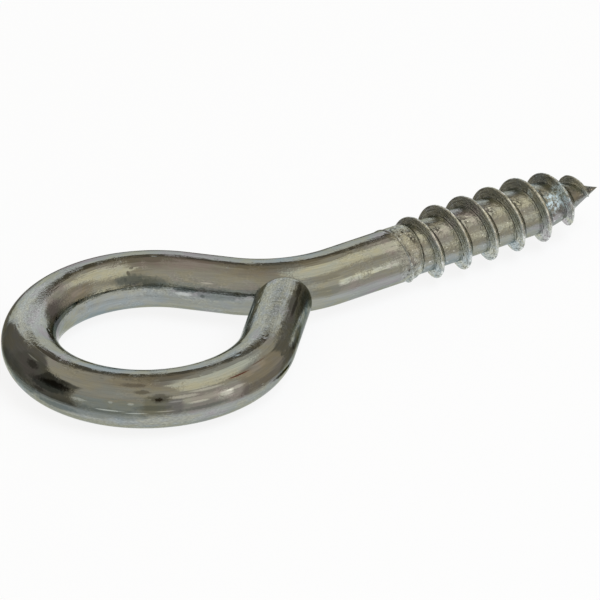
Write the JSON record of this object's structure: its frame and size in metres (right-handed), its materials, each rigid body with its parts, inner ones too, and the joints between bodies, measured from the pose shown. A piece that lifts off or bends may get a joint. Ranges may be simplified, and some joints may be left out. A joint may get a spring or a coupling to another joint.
{
  "type": "screw eye",
  "caption": "Steel wire rolled into a closed eye, with a plain shank and a right-hand wood-screw thread that runs to a gimlet point.",
  "frame": {"origin": "centre of the eye, at half the wire's thickness", "axes": "+X along the shank from the eye to the point, +Z along the eye's hole, +Y across the eye, on the side where the neck leaves it"},
  "size_m": [0.0756, 0.0324, 0.008],
  "materials": {
    "zinc_plated_steel": "bright zinc plating, passivated, with rolling and forming marks"
  },
  "bodies": {
    "root": {"screw_eye": "zinc_plated_steel"}
  },
  "joints": []
}
